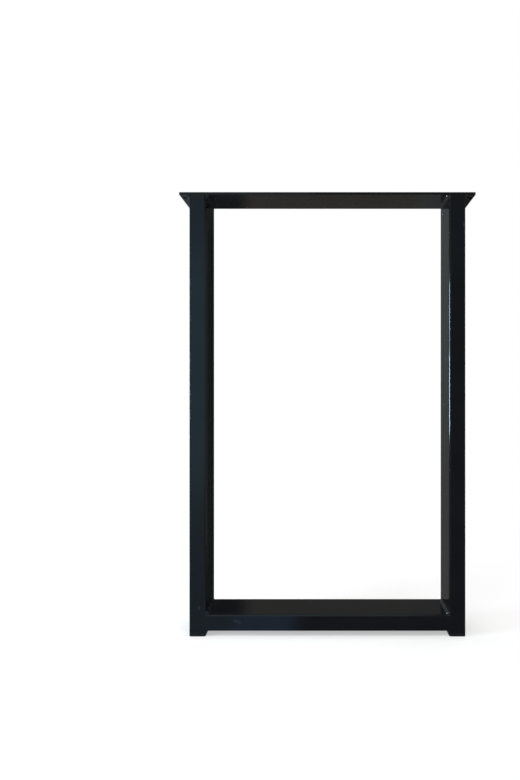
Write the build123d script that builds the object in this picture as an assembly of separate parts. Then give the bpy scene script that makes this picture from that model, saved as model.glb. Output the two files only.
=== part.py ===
from build123d import *
import os

# A table leg: a closed, welded frame of rectangular steel tube under a flat bar, on plastic foot plugs.
# Millimetres. X runs across the leg, Y from its front (-Y) to its back (+Y), Z up from the floor.

# Frame
leg_height = 675.0  # floor to the top of the plate
frame_width = 420.0  # across the outer faces of the uprights
foot_drop = 3.0  # length of an upright left below the bottom rail

# Rectangular tube, with its narrow side to the front
tube_face = 25.0
tube_depth = 50.0
tube_wall = 1.5
tube_corner = 2.5  # outer radius of the long edges

# Flat bar under the table top
plate_thickness = 4.0
plate_overhang = 15.0  # past the outer face of each upright
plate_edge = 0.5  # radius of the rolled edges
screw_hole = 5.5  # clears a 5 mm wood screw
screw_row_spacing = 28.0  # front screw to back screw, at each end

# Weld beads
weld_leg = 4.0
foot_weld_leg = 2.5  # under the bottom rail, where there is less room
weld_crown = 0.4  # rise of the bead over a flat face
weld_dressing = 0.15  # how far the ground ends stay below flush
groove_fill = 0.7  # filled share of the groove that a tube's rounded edge leaves

# Foot plugs
plug_head = 5.0
plug_edge = 1.2  # radius around the floor face
plug_seam = 0.4  # radius where the head meets the tube
plug_length = 18.0  # of the body inside the tube
plug_wall = 1.8
plug_gap = 0.9  # body to bore
fin_count = 3
fin_thickness = 1.0
fin_clearance = 0.1  # fin to bore
smallest_corner = 0.4  # least radius of a plug's inner corners

# Places that follow from the sizes above
plate_underside = leg_height - plate_thickness
plate_length = frame_width + 2 * plate_overhang
upright_x = (frame_width - tube_face) / 2
upright_length = plate_underside - plug_head
rail_length = frame_width - 2 * tube_face
rail_z = plug_head + foot_drop + tube_face / 2
screw_hole_x = (frame_width + weld_leg + plate_overhang) / 2  # midway between weld and plate end
weld_front = weld_dressing - tube_depth / 2
groove_back = groove_fill * tube_corner - tube_depth / 2

sides = {"left": -1, "right": 1}


def outline(inset):
    # The tube's cross section, drawn in by the inset all round.
    corner = max(tube_corner - inset, smallest_corner)
    return RectangleRounded(tube_face - 2 * inset, tube_depth - 2 * inset, corner)


def tube(length):
    return extrude(outline(0) - outline(tube_wall), length)


def filled_tube(length):
    return extrude(outline(0), length)


def as_upright(side, bar):
    return Pos(side * upright_x, 0, plug_head) * bar


def as_rail(bar):
    return Pos(-rail_length / 2, 0, rail_z) * Rot(0, 90, 0) * bar


def top_plate():
    plate = Box(plate_length, tube_depth, plate_thickness, align=(Align.CENTER, Align.CENTER, Align.MIN))
    plate = fillet(plate.edges().filter_by(Axis.X), plate_edge)
    holes = GridLocations(2 * screw_hole_x, screw_row_spacing, 2, 2) * Hole(screw_hole / 2, 3 * plate_thickness)
    return Pos(0, 0, plate_underside) * (plate - holes)


def foot_plug(side):
    head = extrude(outline(0), plug_head)
    head = fillet(head.faces().sort_by(Axis.Z)[0].edges(), plug_edge)
    head = fillet(head.faces().sort_by(Axis.Z)[-1].edges(), plug_seam)
    bore = outline(tube_wall + plug_gap + plug_wall)
    plug = head + Pos(0, 0, plug_head) * extrude(outline(tube_wall + plug_gap) - bore, plug_length)
    fin = extrude(outline(tube_wall + fin_clearance) - bore, fin_thickness)
    fin_pitch = plug_length / (fin_count + 1)
    for place in range(1, fin_count + 1):
        plug += Pos(0, 0, plug_head + place * fin_pitch) * fin
    return Pos(side * upright_x, 0, 0) * plug


def bead(leg, corner_x, corner_z, out, up, under, front, back):
    # A fillet bead in the corner between an upright's face and a level face, from front to back.
    # Its legs lie along out (in X) and up (in Z); its sloping face carries on past both toes, into the
    # upright's rounded edge and, by under, into that of a rail.
    def at(x, z):
        return (corner_x + out * x, corner_z + up * z)

    middle = (leg + weld_crown * 2**0.5) / 2
    past_toe = [at(leg + under, -under)] if under else []
    corner = [at(-tube_corner, leg + tube_corner), at(-tube_corner, -under)]
    path = Polyline(at(0, leg), *corner, *past_toe, at(leg, 0))
    path += ThreePointArc(at(leg, 0), at(middle, middle), at(0, leg))
    section = make_face(Plane.XZ.offset(-back) * path)
    return extrude(section, back - front, dir=(0, -1, 0))


def plate_weld(side, out):
    # Under the plate, on the inner (out = -side) or the outer (out = side) face of an upright.
    face_x = side * upright_x + out * tube_face / 2
    weld = bead(weld_leg, face_x, plate_underside, out, -1, 0, weld_front, -weld_front)
    return weld - as_upright(side, filled_tube(upright_length))


def rail_fillet_weld(side, up, leg):
    # Above (up = 1) or under (up = -1) one end of the bottom rail. Its ends run into the rounded edges of
    # both tubes, and under the rail it stops level with the end of the upright.
    face_x = side * rail_length / 2
    face_z = rail_z + up * tube_face / 2
    weld = bead(leg, face_x, face_z, -side, up, 0, weld_front, -weld_front)
    weld += bead(leg, face_x, face_z, -side, up, tube_corner, weld_front, groove_back)
    weld += bead(leg, face_x, face_z, -side, up, tube_corner, -groove_back, -weld_front)
    weld -= as_upright(side, filled_tube(upright_length))
    weld -= as_rail(filled_tube(rail_length))
    return split(weld, Plane.XY.offset(plug_head), keep=Keep.TOP)


def rail_seam_weld(side, end):
    # Fills the groove that an upright's rounded edge leaves beside the rail, at the front (end = -1) or the
    # back (end = 1), and is ground to just below flush.
    groove = Box(tube_corner, groove_back - weld_front, tube_face - 2 * tube_corner)
    groove_x = side * (rail_length + tube_corner) / 2
    groove_y = -end * (weld_front + groove_back) / 2
    weld = Pos(groove_x, groove_y, rail_z) * groove
    return weld - as_upright(side, filled_tube(upright_length))


pieces = {"top_plate": top_plate(), "bottom_rail": as_rail(tube(rail_length))}
for name, side in sides.items():
    pieces[f"{name}_upright"] = as_upright(side, tube(upright_length))
    pieces[f"{name}_foot_plug"] = foot_plug(side)
    pieces[f"{name}_plate_inner_weld"] = plate_weld(side, -side)
    pieces[f"{name}_plate_outer_weld"] = plate_weld(side, side)
    pieces[f"{name}_rail_top_weld"] = rail_fillet_weld(side, 1, weld_leg)
    pieces[f"{name}_rail_under_weld"] = rail_fillet_weld(side, -1, foot_weld_leg)
    pieces[f"{name}_rail_front_weld"] = rail_seam_weld(side, -1)
    pieces[f"{name}_rail_back_weld"] = rail_seam_weld(side, 1)

os.makedirs("parts", exist_ok=True)
for name, shape in pieces.items():
    export_step(shape, f"parts/{name}.step")
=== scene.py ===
import math

import bpy
import numpy as np
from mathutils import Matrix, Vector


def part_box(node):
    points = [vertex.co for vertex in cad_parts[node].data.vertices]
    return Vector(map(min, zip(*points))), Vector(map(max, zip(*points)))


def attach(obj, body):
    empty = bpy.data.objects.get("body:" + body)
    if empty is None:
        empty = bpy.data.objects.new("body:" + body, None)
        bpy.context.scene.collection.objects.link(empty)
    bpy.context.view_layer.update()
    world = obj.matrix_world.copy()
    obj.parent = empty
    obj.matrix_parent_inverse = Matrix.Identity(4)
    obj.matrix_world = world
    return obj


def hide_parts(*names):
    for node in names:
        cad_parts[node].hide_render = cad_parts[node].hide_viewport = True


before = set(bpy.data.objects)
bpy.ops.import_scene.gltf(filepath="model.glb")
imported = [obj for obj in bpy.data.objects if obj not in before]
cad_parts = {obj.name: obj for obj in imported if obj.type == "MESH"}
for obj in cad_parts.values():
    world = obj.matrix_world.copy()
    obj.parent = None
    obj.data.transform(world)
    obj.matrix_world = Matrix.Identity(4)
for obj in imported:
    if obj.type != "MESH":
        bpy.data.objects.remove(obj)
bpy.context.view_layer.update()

# Welded steel table leg in gloss black paint. Metres; X across the leg, front at -Y, Z up from the floor.

# Faces of the leg, read from the frame; the left side mirrors the right
innerX, outerX = (corner.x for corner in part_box("right_upright"))
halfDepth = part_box("right_upright")[1].y
railUnder, railTop = (corner.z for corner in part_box("bottom_rail"))
plateUnder, plateTop = (corner.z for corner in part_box("top_plate"))
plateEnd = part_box("top_plate")[1].x


class Wire:
    # A value in a node tree: arithmetic on wires adds Math nodes, and node() adds any other node.
    def __init__(self, tree, socket=None):
        self.tree = tree
        self.socket = socket

    def node(self, kind, settings=None, inputs=None, out=0):
        made = self.tree.nodes.new(kind)
        for name, value in (settings or {}).items():
            setattr(made, name, value)
        for name, value in (inputs or {}).items():
            if isinstance(value, Wire):
                self.tree.links.new(value.socket, made.inputs[name])
            else:
                made.inputs[name].default_value = value
        return Wire(self.tree, made.outputs[out] if made.outputs else None)

    def math(self, operation, *values):
        return self.node("ShaderNodeMath", {"operation": operation}, dict(enumerate(values)))

    def __add__(self, other):
        return self.math("ADD", self, other)

    def __radd__(self, other):
        return self.math("ADD", other, self)

    def __sub__(self, other):
        return self.math("SUBTRACT", self, other)

    def __rsub__(self, other):
        return self.math("SUBTRACT", other, self)

    def __mul__(self, other):
        return self.math("MULTIPLY", self, other)

    def __rmul__(self, other):
        return self.math("MULTIPLY", other, self)

    def __abs__(self):
        return self.math("ABSOLUTE", self)

    def most(self, other):
        return self.math("MAXIMUM", self, other)

    def least(self, other):
        return self.math("MINIMUM", self, other)

    def step(self, start, end):
        # 0 before start and 1 after end, smooth between; start may lie above end
        inputs = {"Value": self, "From Min": start, "From Max": end}
        return self.node("ShaderNodeMapRange", {"interpolation_type": "SMOOTHSTEP"}, inputs)

    def fade(self, face, ends):
        # a step whose start and end are measured from a face of the leg
        return self.step(face + ends[0], face + ends[1])

    def blend(self, first, second):
        # this wire mixes the second colour into the first
        return self.node("ShaderNodeMix", {"data_type": "RGBA"}, {0: self, 6: first, 7: second}, 2)

    def parts(self):
        split = self.node("ShaderNodeSeparateXYZ", {}, {0: self})
        return [Wire(self.tree, socket) for socket in split.socket.node.outputs]

    def length(self):
        return self.node("ShaderNodeVectorMath", {"operation": "LENGTH"}, {0: self}, 1)


def newMaterial(name):
    # A material, the start of its empty node tree and its object coordinates
    material = bpy.data.materials.new(name)
    material.use_nodes = True
    material.node_tree.nodes.clear()
    start = Wire(material.node_tree)
    return material, start, start.node("ShaderNodeTexCoord", {}, {}, "Object")


def noise(coords, scale, detail, stretch=(1, 1, 1)):
    # Smooth noise about 0, from -0.5 to 0.5; scale is in waves a metre
    turned = coords.node("ShaderNodeMapping", {}, {"Vector": coords, "Scale": stretch})
    return coords.node("ShaderNodeTexNoise", {}, {"Vector": turned, "Scale": scale, "Detail": detail}) - 0.5


def uneven(coords, height, *grain):
    # Noise of a height in millimetres
    return noise(coords, *grain) * height


def spot(coords, centre, size):
    # 1 at the centre, falling smoothly to 0 over the sizes along X, Y and Z
    offset = coords.node("ShaderNodeVectorMath", {"operation": "SUBTRACT"}, {0: coords, 1: centre})
    scaled = coords.node("ShaderNodeVectorMath", {"operation": "DIVIDE"}, {0: offset, 1: size})
    return scaled.length().step(1.0, 0.0)


def surface(start, colour, roughness, ior, height):
    # Closes a material; the bump's heights are in millimetres
    bump = start.node("ShaderNodeBump", {}, {"Strength": 1.0, "Distance": 0.001, "Height": height})
    shader = start.node("ShaderNodeBsdfPrincipled", {}, {
        "Base Color": colour, "Roughness": roughness, "IOR": ior, "Normal": bump,
    })
    start.node("ShaderNodeOutputMaterial", {}, {"Surface": shader})


# Gloss black paint over ground and welded steel
paintLook = {
    "black": (0.0040, 0.0044, 0.0052, 1),
    "worn": (0.0075, 0.0078, 0.0085, 1),
    # colour of the pale marks: scuffed paint, partly a painted glint of small dents
    "scuff": (0.035, 0.040, 0.046, 1),
    "overspray": (0.0088, 0.0098, 0.0115, 1),  # painted light: paler paint that lifts the shade in the inner corners at the left
    "edgeWear": 0.35,  # share of the worn colour along the tubes' rounded edges
    "ior": 1.5,
    "roughness": 0.085,
    "cloudRough": 0.05,
    "dressedRough": 0.05,
    "scuffRough": 0.25,
    "edgeRough": 0.015,
    "spread": 0.0,  # more roughness, where fine ripples spread the light
    # height in mm where it is a bump, waves a metre, detail, stretch
    "cloud": (26, 3),
    "peel": (0.006, 330, 2),
    "ripple": (0.014, 65, 1),  # waves of about a finger's width
    "wave": (0.060, 9, 1, (1.6, 1.6, 0.5)),  # slow waves in the tube walls
    "grinding": (0.010, 90, 3, (1.0, 1.0, 14.0)),  # marks under the paint at the dressed joints
    "scuffGrain": (900, 2),
    # dust caught in the paint: height in mm, cells a metre, and a nib's rim and core as shares of a cell
    "nib": 0.002,
    "nibCells": 55.0,
    "nibSize": (0.030, 0.006),
    # pale marks on the front, partly scuffed paint and partly painted glints of small dents: middle in X and
    # Z, half width and half height, strength
    "scuffs": (
        ((-0.1944, 0.0440), (0.0022, 0.0034), 0.9),
        ((-0.1390, 0.0238), (0.0060, 0.0026), 0.6),
        ((-0.1335, 0.0215), (0.0032, 0.0036), 0.4),
        ((0.2073, 0.6260), (0.0017, 0.0056), 1.0),
    ),
    "scuffDepth": 0.006,
    "scuffCover": 0.75,
    "scuffRise": 0.05,  # mm
    # fades, each measured from the face of the leg that paintMaterial gives it
    "joint": {"inner": (-0.017, -0.005), "outer": (0.002, -0.010), "rail": (0.019, 0.003),
              "plate": (-0.026, -0.011), "skin": (-0.0010, -0.0003)},
    # corner: the inner corners at the left, where paler paint is painted light that lifts their shade
    "corner": {"inner": (0.019, 0.004), "outer": (-0.0035, -0.0010), "rail": (0.019, 0.005),
               "plate": (-0.023, -0.007), "skin": (-0.0004, -0.0025)},
    "edge": {"upright": (-0.001, 0.0), "across": (-0.0027, -0.0007), "top": (0.0020, 0.0005),
             "skin": (-0.0028, -0.0010)},
    "edgeCover": 0.9,
    "nibTop": (0.0, -0.002),
    "spreadStart": (0.0055, 0.0110),
}

# The same paint over the weld beads, less sharp in its reflections. At the right the beads' paint is paler, a
# painted highlight for the window light that their crests catch; paler still on the rail's top bead
leftWeldLook = dict(paintLook, spread=0.20)
paintedHighlightWeldLook = dict(
    paintLook, black=(0.0090, 0.0095, 0.0105, 1), worn=(0.013, 0.0135, 0.014, 1), spread=0.22,
)
paintedHighlightRailWeldLook = dict(paintedHighlightWeldLook, black=(0.015, 0.0165, 0.0165, 1), worn=(0.020, 0.022, 0.022, 1))


def paintMaterial(name, look):
    material, start, coords = newMaterial(name)
    x, y, z = coords.parts()
    side, depth = abs(x), abs(y)
    cloud = noise(coords, *look["cloud"])

    def nearJoints(across, inner, outer, ends):
        # round the rail's ends and the tops of the uprights
        inX = across.fade(inner, ends["inner"]) * across.fade(outer, ends["outer"])
        inZ = z.fade(railTop, ends["rail"]).most(z.fade(plateUnder, ends["plate"]))
        return inX * inZ * depth.fade(halfDepth, ends["skin"])

    # joints dressed at the front and back, and inner corners at the left, whose paint is made paler there as
    # painted light that lifts their shade
    dressed = nearJoints(side, innerX, outerX, look["joint"])
    paintedCornerLight = nearJoints(x, -innerX, -innerX, look["corner"])
    # rounded edges of the tubes, where the paint is thin: those of the uprights, then those of the rail
    ends = look["edge"]
    halfFace = (outerX - innerX) / 2
    upright = side.fade(innerX, ends["upright"])
    uprightEdge = upright * abs(side - (innerX + outerX) / 2).fade(halfFace, ends["across"])
    railEdge = (1 - upright) * abs(z - (railUnder + railTop) / 2).fade(halfFace, ends["across"])
    railEdge = railEdge * z.fade(railTop, ends["top"])
    edge = depth.fade(halfDepth, ends["skin"]) * uprightEdge.most(railEdge) * (look["edgeCover"] + cloud)
    cells = start.node("ShaderNodeTexVoronoi", {}, {"Vector": coords, "Scale": look["nibCells"]})
    nib = cells.step(*look["nibSize"]) * z.fade(plateUnder, look["nibTop"])
    # pale marks on the front: scuffed paint, partly painted glints where small dents catch the light
    scuff = 0.0
    for (middleX, middleZ), (width, height), strength in look["scuffs"]:
        size = (width, look["scuffDepth"], height)
        scuff = spot(coords, (middleX, -halfDepth, middleZ), size) * strength + scuff
    scuff = scuff.least(1.0) * (look["scuffCover"] + noise(coords, *look["scuffGrain"]))
    bumps = uneven(coords, *look["peel"]) + uneven(coords, *look["wave"])
    bumps = bumps + uneven(coords, *look["grinding"]) * dressed + uneven(coords, *look["ripple"])
    bumps = bumps + nib * look["nib"] + scuff * look["scuffRise"]
    colour = (cloud + 0.5 + edge * look["edgeWear"]).blend(look["black"], look["worn"])
    # painted light: paler paint in the left inner corners, lifting their shade
    colour = paintedCornerLight.blend(colour, look["overspray"])
    colour = scuff.blend(colour, look["scuff"])
    roughness = look["roughness"] + cloud * look["cloudRough"] + dressed * look["dressedRough"]
    roughness = roughness + scuff * look["scuffRough"] + edge * look["edgeRough"]
    if look["spread"]:
        roughness = roughness + look["spread"] * y.fade(-halfDepth, look["spreadStart"])
    surface(start, colour, roughness, look["ior"], bumps)
    return material


# Moulded plastic of the foot plugs
plasticLook = {
    "black": (0.0060, 0.0063, 0.0070, 1),
    "rubbed": (0.015, 0.015, 0.015, 1),
    "ior": 1.48,
    "roughness": 0.34,
    "cloudRough": 0.12,
    "rubRough": 0.15,
    "rubHeight": (0.0022, 0.0002),  # above the floor
    "rubCover": 0.6,
    # height in mm where it is a bump, waves a metre, detail, stretch
    "texture": (0.012, 1500, 3),
    "cloud": (60, 3),
    "rubGrain": (240, 3, (1.0, 1.0, 0.3)),
}


def plasticMaterial(look):
    material, start, coords = newMaterial("black_foot_plastic")
    z = coords.parts()[2]
    cloud = noise(coords, *look["cloud"])
    rubbed = z.step(*look["rubHeight"]) * (look["rubCover"] + noise(coords, *look["rubGrain"]))
    colour = rubbed.blend((cloud + 0.5).blend(look["black"], look["rubbed"]), look["rubbed"])
    roughness = look["roughness"] + cloud * look["cloudRough"] + rubbed * look["rubRough"]
    surface(start, colour, roughness, look["ior"], uneven(coords, *look["texture"]))
    return material


paint = paintMaterial("gloss_black_paint", paintLook)
weldPaint = {
    "left": paintMaterial("gloss_black_left_weld_paint", leftWeldLook),
    # at the right the beads' paler paint is a painted highlight
    "right": paintMaterial("gloss_black_right_weld_paint", paintedHighlightWeldLook),
    "rightRailTopBead": paintMaterial("gloss_black_rail_weld_paint", paintedHighlightRailWeldLook),
}
plastic = plasticMaterial(plasticLook)
print("materials: paint, paint over welds, plastic")


def meshFromGrid(name, grid, sharp, closedRows=False, tips=None):
    # Rows of points, each row a closed loop. With closedRows the last row joins the first; otherwise two
    # tips close the ends. Edges that turn by more than sharp degrees stay sharp.
    rows, columns = grid.shape[:2]
    index = np.arange(rows * columns).reshape(rows, columns)
    following = np.roll(index, -1, axis=0) if closedRows else index[1:]
    index = index if closedRows else index[:-1]
    corners = [index, np.roll(index, -1, axis=1), np.roll(following, -1, axis=1), following]
    faces = np.stack(corners, -1).reshape(-1, 4).tolist()
    points = grid.reshape(-1, 3)
    if tips is not None:
        first = np.arange(columns)
        last = first + (rows - 1) * columns
        tip = np.full(columns, len(points))
        faces += np.stack([np.roll(first, -1), first, tip], -1).tolist()
        faces += np.stack([last, np.roll(last, -1), tip + 1], -1).tolist()
        points = np.concatenate([points, tips])
    mesh = bpy.data.meshes.new(name)
    mesh.from_pydata(points.tolist(), [], faces)
    mesh.polygons.foreach_set("use_smooth", np.ones(len(mesh.polygons), bool))
    mesh.set_sharp_from_angle(angle=math.radians(sharp))
    piece = bpy.data.objects.new(name, mesh)
    bpy.context.scene.collection.objects.link(piece)
    return piece


def fit(piece, node, material):
    piece.data.materials.append(material)
    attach(piece, "root")
    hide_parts(node)


# Rectangular tube of the uprights and the rail
tubeLook = {
    "wall": 0.0015,
    "corner": 0.0025,
    "cornerSteps": 12,
    "sidePoints": (0.012, 0.25, 0.5, 0.75, 0.988),  # as shares of a flat side
    "lip": 0.0003,  # rolled in at the lower ends of the uprights
    "lipSteps": 4,
    "endRow": 0.001,  # from an end to the next row of points
    "sharp": 40,
}


def roundedOutline(width, depth, look):
    # Four quarter circles of the corner radius joined by straight sides, which have points near their ends
    # so that they shade flat. Gives the points, anticlockwise, and the outward normal at each.
    corner = look["corner"]
    turn = np.linspace(0, np.pi / 2, look["cornerSteps"] + 1) + np.arange(4)[:, None] * np.pi / 2
    centre = np.array([[1, 1], [-1, 1], [-1, -1], [1, -1]]) * [width / 2 - corner, depth / 2 - corner]
    outward = np.stack([np.cos(turn), np.sin(turn)], -1)
    arcs = centre[:, None] + corner * outward
    start = arcs[:, -1:]
    end = np.roll(arcs, -1, axis=0)[:, :1]
    share = np.array(look["sidePoints"])[:, None]
    sides = start + (end - start) * share
    flat = np.repeat(outward[:, -1:], len(share), axis=1)
    points = np.concatenate([arcs, sides], 1).reshape(-1, 2)
    normals = np.concatenate([outward, flat], 1).reshape(-1, 2)
    return points, normals


def tubeShell(name, node, cross, along, lip, look):
    # The outline carried along the tube. A point is outline - inset * normal: rows run up the outside from a
    # lip whose inset is lip * (1 - sin), over the far end, and back down the bore at an inset of one wall.
    low, high = (np.array(corner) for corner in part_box(node))
    size = (high - low)[cross]
    outline, outward = roundedOutline(size[0], size[1], look)
    roll = np.linspace(0, np.pi / 2, look["lipSteps"] + 1) if lip else np.array([np.pi / 2])
    start, end = low[along], high[along]
    wall, row = look["wall"], look["endRow"]
    inset = np.concatenate([lip * (1 - np.sin(roll)), [0, 0, 0, wall, wall]])
    place = np.concatenate([start + lip * (1 - np.cos(roll)), [start + row, end - row, end, end, start]])
    grid = np.empty((len(inset), len(outline), 3))
    grid[..., cross] = outline - inset[:, None, None] * outward + ((low + high) / 2)[cross]
    grid[..., along] = place[:, None]
    fit(meshFromGrid(name, grid, look["sharp"], closedRows=True), node, paint)


tubeShell("leftUprightTube", "left_upright", [0, 1], 2, tubeLook["lip"], tubeLook)
tubeShell("rightUprightTube", "right_upright", [0, 1], 2, tubeLook["lip"], tubeLook)
tubeShell("bottomRailTube", "bottom_rail", [1, 2], 0, 0, tubeLook)
print("tubes: two uprights and the rail")

# Fillet weld beads
beadLook = {
    "leg": 0.004,
    "wander": ((0.05, 310), (0.03, 740)),  # share of the leg, and radians a metre
    "pitch": 0.0029,  # one ripple
    "drift": (0.12, 500),  # of the ripples: share of the pitch, and radians a metre
    "bow": 0.45,  # how far a ripple's crest bows back, as a share of the pitch
    "ripple": 0.00009,
    "crown": 0.00055,
    "crownLeg": 0.004,  # the leg that has this crown and ripple; they shrink with a smaller one
    "blob": 0.00050,  # more crown where the bead starts and stops
    "blobPlace": 0.0028,  # from each end
    "blobWidth": 0.0026,
    "nose": 0.0044,  # length of the rounded ends
    "blunt": 0.9995,  # share of a nose where it stops, and a tip closes it
    "sink": 0.0012,  # into both parts, and endSink more where their edges are rounded
    "endSink": 0.0012,
    "endFade": (0.0012, 0.0026),  # from each end
    "tail": 0.014,  # the run thins out towards the back
    "tailEnd": 0.15,
    "rows": 241,
    "across": 15,
    "sharp": 50,
}

# Under the rail the beads are smaller. Outside the uprights their ends are ground, nearly flush with the
# frame.
footBeadLook = dict(beadLook, leg=0.0025)
outerBeadLook = dict(beadLook, nose=0.0007, blob=0.0)


def weldBead(name, node, corner, out, up, phase, look, material):
    # A bead along Y. Across it, t goes from the toe on the upright (0, leg) to the other toe (leg, 0), raised
    # by crown * 4t(1-t) and by ripples, cosines along Y whose crests bow back at the middle. The legs wander
    # by a few percent and shrink in a straight line over the tail. At the ends the section shrinks to its
    # root as a quarter ellipse does.
    low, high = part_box(node)
    y = np.linspace(low.y, high.y, look["rows"])[:, None]
    t = np.linspace(0, 1, look["across"])
    hump = 4 * t * (1 - t)
    (slow, slowRate), (fast, fastRate) = look["wander"]
    wander = 1 + slow * np.sin(y * slowRate + phase) + fast * np.sin(y * fastRate + 2 * phase)
    drift, driftRate = look["drift"]
    travel = y / look["pitch"] + drift * np.sin(y * driftRate + phase) + phase
    ripple = look["ripple"] * np.cos(2 * np.pi * (travel - look["bow"] * hump)) * hump**0.5
    fromEnd = np.minimum(y - low.y, high.y - y)
    fromBlob = (fromEnd - look["blobPlace"]) / look["blobWidth"]
    crown = look["crown"] + look["blob"] * np.exp(-(fromBlob**2))
    size = look["leg"] * wander * np.interp(high.y - y, (0, look["tail"]), (look["tailEnd"], 1))
    rise = (crown * hump + ripple) * size / look["crownLeg"] / 2**0.5
    sink = look["sink"] + look["endSink"] * np.interp(fromEnd, look["endFade"], (1, 0))
    across = np.concatenate([size * t + rise, size, -sink, -sink], 1)
    upward = np.concatenate([size * (1 - t) + rise, -sink, -sink, size], 1)
    taper = np.sqrt(1 - np.clip(1 - fromEnd / look["nose"], 0, look["blunt"]) ** 2)
    across = taper * (across + sink) - sink
    upward = taper * (upward + sink) - sink
    along = np.broadcast_to(y, across.shape)
    grid = np.stack([corner[0] + out * across, along, corner[1] + up * upward], -1)
    grid = grid[:, ::-1] if out * up > 0 else grid
    tips = grid[[0, -1]].mean(1)
    fit(meshFromGrid(name, grid, look["sharp"], tips=tips), node, material)


# Each bead, as at the right: piece, node, face of the upright and the way out of it, level face and the way
# from it, where its ripples begin, and its look
beads = (
    ("PlateInnerBead", "_plate_inner_weld", innerX, -1, plateUnder, -1, 0.3, beadLook),
    ("PlateOuterBead", "_plate_outer_weld", outerX, 1, plateUnder, -1, 1.7, outerBeadLook),
    ("RailTopBead", "_rail_top_weld", innerX, -1, railTop, 1, 2.9, beadLook),
    ("RailUnderBead", "_rail_under_weld", innerX, -1, railUnder, -1, 4.1, footBeadLook),
)
for sideName, side in (("left", -1), ("right", 1)):
    for name, node, face, out, level, up, phase, look in beads:
        corner = (side * face, level)
        material = weldPaint.get(sideName + name, weldPaint[sideName])
        weldBead(sideName + name, sideName + node, corner, side * out, up, phase + side, look, material)
print("welds: eight beads")

# The plate, the ground seams and the plugs keep their own shapes
for name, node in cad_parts.items():
    material = plastic if name.endswith("foot_plug") else paint
    for place in node.material_slots:
        place.material = material
print("kept shapes: plate, ground seams, plugs")

# Camera: level and square on, its axis at the middle of the leg
cameraLook = {
    "lens": 19.16,
    "sensor": 36,
    "place": (0.0, -0.655, 0.3745),
    "shiftX": -0.0864,
    "nearest": 0.01,
}
lens = bpy.data.cameras.new("camera")
lens.lens = cameraLook["lens"]
lens.sensor_width = cameraLook["sensor"]
lens.shift_x = cameraLook["shiftX"]
lens.clip_start = cameraLook["nearest"]
camera = bpy.data.objects.new("camera", lens)
camera.location = cameraLook["place"]
camera.rotation_euler = (math.pi / 2, 0, 0)
bpy.context.scene.collection.objects.link(camera)
bpy.context.scene.camera = camera
bpy.context.scene.view_settings.view_transform = "Standard"

# Lamps: a cool window at the left and a soft box overhead. The paint shows the cards below instead of them.
lampLook = {
    "window": {"place": (-1.2, -0.33, 0.54), "turn": (0, -90, 0), "size": (0.65, 0.30), "power": 12,
               "colour": (0.80, 0.93, 1.0)},
    "overhead": {"place": (0.1, -0.3, 2.2), "turn": (0, 0, 0), "size": (1.8, 1.8), "power": 38,
                 "colour": (1.0, 0.99, 0.97)},
}
for name, look in lampLook.items():
    lamp = bpy.data.lights.new(name, "AREA")
    lamp.shape = "RECTANGLE"
    lamp.size, lamp.size_y = look["size"]
    lamp.energy = look["power"]
    lamp.color = look["colour"]
    holder = bpy.data.objects.new(name, lamp)
    holder.location = look["place"]
    holder.rotation_euler = [math.radians(angle) for angle in look["turn"]]
    holder.visible_camera = False
    holder.visible_glossy = False
    bpy.context.scene.collection.objects.link(holder)


def whiteToEye(start):
    # 1 for rays that show the background: camera, glossy and transmission rays
    path = start.node("ShaderNodeLightPath").socket.node
    seen = Wire(start.tree, path.outputs["Is Camera Ray"])
    seen = seen + Wire(start.tree, path.outputs["Is Glossy Ray"])
    return (seen + Wire(start.tree, path.outputs["Is Transmission Ray"])).least(1.0)


# White all round, which lights the leg at the fill's strength only
studioLook = {"white": (1, 1, 1, 1), "fill": 0.5}
world = bpy.data.worlds.new("studio")
world.use_nodes = True
world.node_tree.nodes.clear()
air = Wire(world.node_tree)
strength = studioLook["fill"] + whiteToEye(air) * (1 - studioLook["fill"])
sky = air.node("ShaderNodeBackground", {}, {"Color": studioLook["white"], "Strength": strength})
air.node("ShaderNodeOutputWorld", {}, {"Surface": sky})
bpy.context.scene.world = world
print("camera, two lamps, white studio")


def sheet(name, points, material):
    # A grid of points, open at its edges
    rows, columns = points.shape[:2]
    index = np.arange(rows * columns).reshape(rows, columns)
    corners = [index[:-1, :-1], index[:-1, 1:], index[1:, 1:], index[1:, :-1]]
    mesh = bpy.data.meshes.new(name)
    mesh.from_pydata(points.reshape(-1, 3).tolist(), [], np.stack(corners, -1).reshape(-1, 4).tolist())
    mesh.materials.append(material)
    made = bpy.data.objects.new(name, mesh)
    bpy.context.scene.collection.objects.link(made)
    return made


# Pale floor: matt and shadowed round the leg, plain white further off
floorLook = {
    "matt": (0.9, 0.9, 0.9, 1),
    "white": (1, 1, 1, 1),
    "nearWhite": 0.45,  # share of white at the leg
    "fade": (0.20, 0.75),
    "reach": 5,
}


def floorMaterial(look):
    material, start, coords = newMaterial("paleFloor")
    fade = look["nearWhite"] + (1 - look["nearWhite"]) * coords.length().step(*look["fade"])
    matt = start.node("ShaderNodeBsdfDiffuse", {}, {"Color": look["matt"]})
    white = start.node("ShaderNodeEmission", {}, {"Color": look["white"], "Strength": 1.0})
    mixed = start.node("ShaderNodeMixShader", {}, {0: fade * whiteToEye(start), 1: matt, 2: white})
    start.node("ShaderNodeOutputMaterial", {}, {"Surface": mixed})
    return material


span = np.linspace(-floorLook["reach"], floorLook["reach"], 3)
across, depth = np.meshgrid(span, span)
sheet("floor", np.stack([across, depth, np.zeros_like(across)], -1), floorMaterial(floorLook))


def glowMaterial(name, paintCard):
    material, start, coords = newMaterial(name)
    glow = start.node("ShaderNodeEmission", {}, {"Color": paintCard(coords), "Strength": 1.0})
    start.node("ShaderNodeOutputMaterial", {}, {"Surface": glow})
    material.cycles.emission_sampling = "NONE"
    return material


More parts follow.
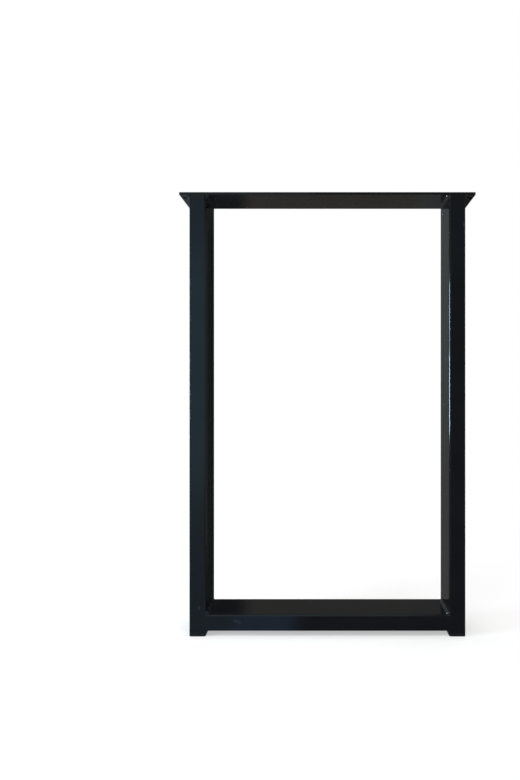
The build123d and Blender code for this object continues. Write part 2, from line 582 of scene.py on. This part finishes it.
def onlyInGloss(card):
    # A card that shows in the paint's reflections and nowhere else
    card.visible_camera = False
    card.visible_diffuse = False
    card.visible_shadow = False
    card.visible_transmission = False
    card.visible_volume_scatter = False


def flatCard(name, x, y, z, material):
    # Two rows of two points: x and y are numbers or pairs along a row, z holds the low row and the high row
    points = np.empty((2, 2, 3))
    points[..., 0] = x
    points[..., 1] = y
    points[..., 2] = np.reshape(z, (2, -1))
    onlyInGloss(sheet(name, points, material))


# Grey cards close behind the frame, which its inner faces and outer edges mirror: one fills the frame and is
# in shade at its left end, the others stand beside it and above
rearLook = {
    "gap": 0.0007,  # from the back of the leg
    "tuck": 0.0028,  # behind the rounded edges of the uprights
    "railLap": 0.0025,  # behind the rail and the plate
    "plateLap": 0.0003,
    "endGap": 0.0005,  # past the plate's ends and under it
    "topGap": 0.0002,  # above it
    "reach": 0.70,
    "foot": 0.002,
    "head": 1.0,
    "top": (0.169, 0.153, 0.132, 1),
    "low": (0.152, 0.144, 0.133, 1),
    "rise": (0.20, 0.50),
    "rightTop": (0.172, 0.184, 0.184, 1),
    "rightLow": (0.144, 0.144, 0.142, 1),
    "rightRise": (0.20, 0.45),
    "rightStart": (0.13, 0.17),
    "shade": (0.021, 0.024, 0.025, 1),
    "shadeTop": (0.036, 0.039, 0.039, 1),
    "shadeRise": (0.62, 0.655),
    "shadeEnd": (-0.152, -0.118),
    "shadeWobble": (0.012, 12, 2),  # size, waves a metre, detail
    "sheen": (0.055, 0.070, 0.082, 1),
    "sheenStart": (-0.1745, -0.1715),
    "sheenFoot": (0.06, 0.16),
    "sheenHead": (0.665, 0.625),
    "outside": (0.06, 0.06, 0.06, 1),
    "outsideStart": (0.189, 0.206),
    "outsideAbove": (0.672, 0.675),
    "outsideTop": (0.24, 0.26, 0.28, 1),  # beside the left upright
    "outsideTopStart": (-0.20, -0.206),
    "outsideTopRise": (0.625, 0.65),
}


def rearColours(coords):
    look = rearLook
    x, y, z = coords.parts()
    middle = z.step(*look["rise"]).blend(look["low"], look["top"])
    right = z.step(*look["rightRise"]).blend(look["rightLow"], look["rightTop"])
    lit = x.step(*look["rightStart"]).blend(middle, right)
    shade = z.step(*look["shadeRise"]).blend(look["shade"], look["shadeTop"])
    # a sheen beside the left upright's rounded edge, in the front of its inner face
    sheen = x.step(*look["sheenStart"]) * z.step(*look["sheenFoot"]) * z.step(*look["sheenHead"])
    shade = sheen.blend(shade, look["sheen"])
    size, *grain = look["shadeWobble"]
    inside = (x + noise(coords, *grain) * size).step(*look["shadeEnd"]).blend(shade, lit)
    lightTop = x.step(*look["outsideTopStart"]) * z.step(*look["outsideTopRise"])
    beside = lightTop.blend(look["outside"], look["outsideTop"])
    outside = abs(x).step(*look["outsideStart"]).most(z.step(*look["outsideAbove"]))
    return outside.blend(inside, beside)


rearGrey = glowMaterial("rearGrey", rearColours)
rearY = halfDepth + rearLook["gap"]
insideX = innerX + rearLook["tuck"]
besideX = outerX - rearLook["tuck"]
pastPlate = plateEnd + rearLook["endGap"]
tall = (rearLook["foot"], rearLook["head"])
underPlate = (rearLook["foot"], plateUnder - rearLook["endGap"])
inFrame = (railTop - rearLook["railLap"], plateUnder + rearLook["plateLap"])
overPlate = (plateTop + rearLook["topGap"], rearLook["head"])
rearCards = {
    "frame": ((-insideX, insideX), inFrame),
    "left": ((-rearLook["reach"], -pastPlate), tall),
    "leftNear": ((-pastPlate, -besideX), underPlate),
    "rightNear": ((besideX, pastPlate), underPlate),
    "right": ((pastPlate, rearLook["reach"]), tall),
    "above": ((-pastPlate, pastPlate), overPlate),
}
for name, (width, height) in rearCards.items():
    flatCard(name + "RearCard", width, rearY, height, rearGrey)

# Dim sweep in front, which the front faces mirror: cool at the left, darker at the right
sweepLook = {
    "width": 1.6,
    "far": -0.9,
    "bend": 0.25,
    "bendSteps": 12,
    "head": 1.7,
    "lift": 0.0002,
    "cool": (0.27, 0.48, 0.59, 1),
    "coolLeft": (0.22, 0.46, 0.76, 1),
    "coolLeftEnd": (-0.50, -0.445),
    "coolLow": (0.16, 0.28, 0.48, 1),
    "coolLowEnd": (-0.24, 0.16),
    "coolLowSlope": 0.3,
    "coolFoot": (0.11, 0.19, 0.26, 1),
    "coolFootStart": (-0.135, -0.175),
    "coolHigh": (0.19, 0.31, 0.45, 1),
    "coolHighStart": (0.75, 1.00),
    "coolTop": (0.26, 0.275, 0.275, 1),
    "coolTopStart": (1.078, 1.090),
    "dark": (0.042, 0.057, 0.076, 1),
    "darkHigh": (0.048, 0.090, 0.135, 1),
    "darkHighStart": (0.70, 0.90),
    "darkTop": (0.055, 0.045, 0.037, 1),
    "darkTopStart": (1.02, 1.08),
    "edge": (-0.075, -0.033),
    "edgeWobble": (0.03, 5, 2),  # size, waves a metre, detail
    "middleFoot": (0.03, 0.12),
    "middleHead": (0.99, 0.93),
    "middleEdge": 0.36,  # half way up, the cool part reaches this much further right
}


def sweepColours(coords):
    look = sweepLook
    x, y, z = coords.parts()
    low = x.step(*look["coolFootStart"]).blend(look["coolLow"], look["coolFoot"])
    along = z - (y - look["far"]) * look["coolLowSlope"]
    cool = x.step(*look["coolLeftEnd"]).blend(look["coolLeft"], look["cool"])
    cool = along.step(*look["coolLowEnd"]).blend(low, cool)
    cool = z.step(*look["coolHighStart"]).blend(cool, look["coolHigh"])
    cool = z.step(*look["coolTopStart"]).blend(cool, look["coolTop"])
    dark = z.step(*look["darkHighStart"]).blend(look["dark"], look["darkHigh"])
    dark = z.step(*look["darkTopStart"]).blend(dark, look["darkTop"])
    middle = z.step(*look["middleFoot"]) * z.step(*look["middleHead"])
    size, *grain = look["edgeWobble"]
    edge = x - noise(coords, *grain) * size - middle * look["middleEdge"]
    return edge.step(*look["edge"]).blend(cool, dark)


# forward along the floor, up a quarter circle and on up to its head
turn = np.linspace(0, np.pi / 2, sweepLook["bendSteps"] + 1)
far, bend = sweepLook["far"], sweepLook["bend"]
pathY = np.concatenate([[rearY], far + bend * (1 - np.sin(turn)), [far]])
pathZ = np.concatenate([[0], bend * (1 - np.cos(turn)), [sweepLook["head"]]]) + sweepLook["lift"]
points = np.empty((len(pathY), 2, 3))
points[..., 0] = (-sweepLook["width"], sweepLook["width"])
points[..., 1] = pathY[:, None]
points[..., 2] = pathZ[:, None]
onlyInGloss(sheet("frontSweep", points, glowMaterial("sweepDim", sweepColours)))

# A cool card at right angles to the frame, which the rounded inner edges of the uprights mirror. Its top and
# its foot slope, to stay out of the plate's front edge and of the rail.
edgeCardLook = {
    "x": 0.165,
    "y": (-0.036, -0.70),
    "foot": (0.030, 0.001),
    "top": (0.672, 0.98),
    "cool": (0.29, 0.395, 0.485, 1),
    "low": (0.15, 0.18, 0.22, 1),
    "rise": (-0.02, 0.22),
}


def edgeCardColours(coords):
    z = coords.parts()[2]
    return z.step(*edgeCardLook["rise"]).blend(edgeCardLook["low"], edgeCardLook["cool"])


edgeCardZ = (edgeCardLook["foot"], edgeCardLook["top"])
edgeCardCool = glowMaterial("edgeCardCool", edgeCardColours)
flatCard("edgeCard", edgeCardLook["x"], edgeCardLook["y"], edgeCardZ, edgeCardCool)

# The window as the paint shows it: a bright cool upright strip with a bar across, dimmer above the bar
windowLook = {
    "x": -1.9,
    "y": (-0.72, -0.02),
    "z": (0.054, 1.111),
    "soft": 0.08,  # at the ends and at the bar
    "light": (51, 67, 78, 1),
    "dim": (1, 2, 3, 1),
    "bar": 0.667,
    "barEdge": (0.020, 0.112),
    "barShare": 0.35,
    "upperShare": 0.60,
}


def windowColours(coords):
    look = windowLook
    z = coords.parts()[2]
    low, high = look["z"]
    bar, soft = look["bar"], look["soft"]
    pane = z.step(bar, bar - soft) * (1 - look["upperShare"]) + look["upperShare"]
    pane = pane * (look["barShare"] + (1 - look["barShare"]) * abs(z - bar).step(*look["barEdge"]))
    return (pane * z.step(low, low + soft) * z.step(high, high - soft)).blend(look["dim"], look["light"])


windowLight = glowMaterial("windowLight", windowColours)
flatCard("windowCard", windowLook["x"], windowLook["y"], windowLook["z"], windowLight)

# Dark flags keep the window out of the front faces of the uprights, which would turn white from some sides
flagLook = {
    "dark": (0.03, 0.035, 0.04, 1),
    "left": {"x": -0.25, "y": (-0.064, -0.0255), "z": (0.0, 1.0)},
    "right": {"x": 0.18, "y": (-0.045, -0.0268), "z": (0.0, 0.669)},
}
flagDark = glowMaterial("flagDark", lambda coords: flagLook["dark"])
for sideName in ("left", "right"):
    flatCard(sideName + "Flag", material=flagDark, **flagLook[sideName])

# Dim dome over everything, for the reflections from other sides: darker low down, softly lit at the top
domeLook = {
    "radius": 2.4,
    "steps": (64, 16),  # once round, and up
    "low": (0.09, 0.10, 0.11, 1),
    "left": (0.20, 0.26, 0.31, 1),
    "leftStart": (-0.24, -2.16),
    "top": (0.55, 0.56, 0.58, 1),
    "topStart": (1.08, 2.28),
}


def domeColours(coords):
    x, y, z = coords.parts()
    sides = x.step(*domeLook["leftStart"]).blend(domeLook["low"], domeLook["left"])
    return z.step(*domeLook["topStart"]).blend(sides, domeLook["top"])


# radius * (cos a cos b, sin a cos b, sin b), a once round and b from the floor to the top
aroundSteps, upSteps = domeLook["steps"]
turn = np.linspace(0, 2 * np.pi, aroundSteps + 1)
around, rise = np.meshgrid(turn, np.linspace(0, np.pi / 2, upSteps + 1))
points = np.stack([np.cos(around) * np.cos(rise), np.sin(around) * np.cos(rise), np.sin(rise)], -1)
onlyInGloss(sheet("dome", points * domeLook["radius"], glowMaterial("domeDim", domeColours)))
print("stage: floor, rear cards, sweep, edge card, window, two flags, dome")
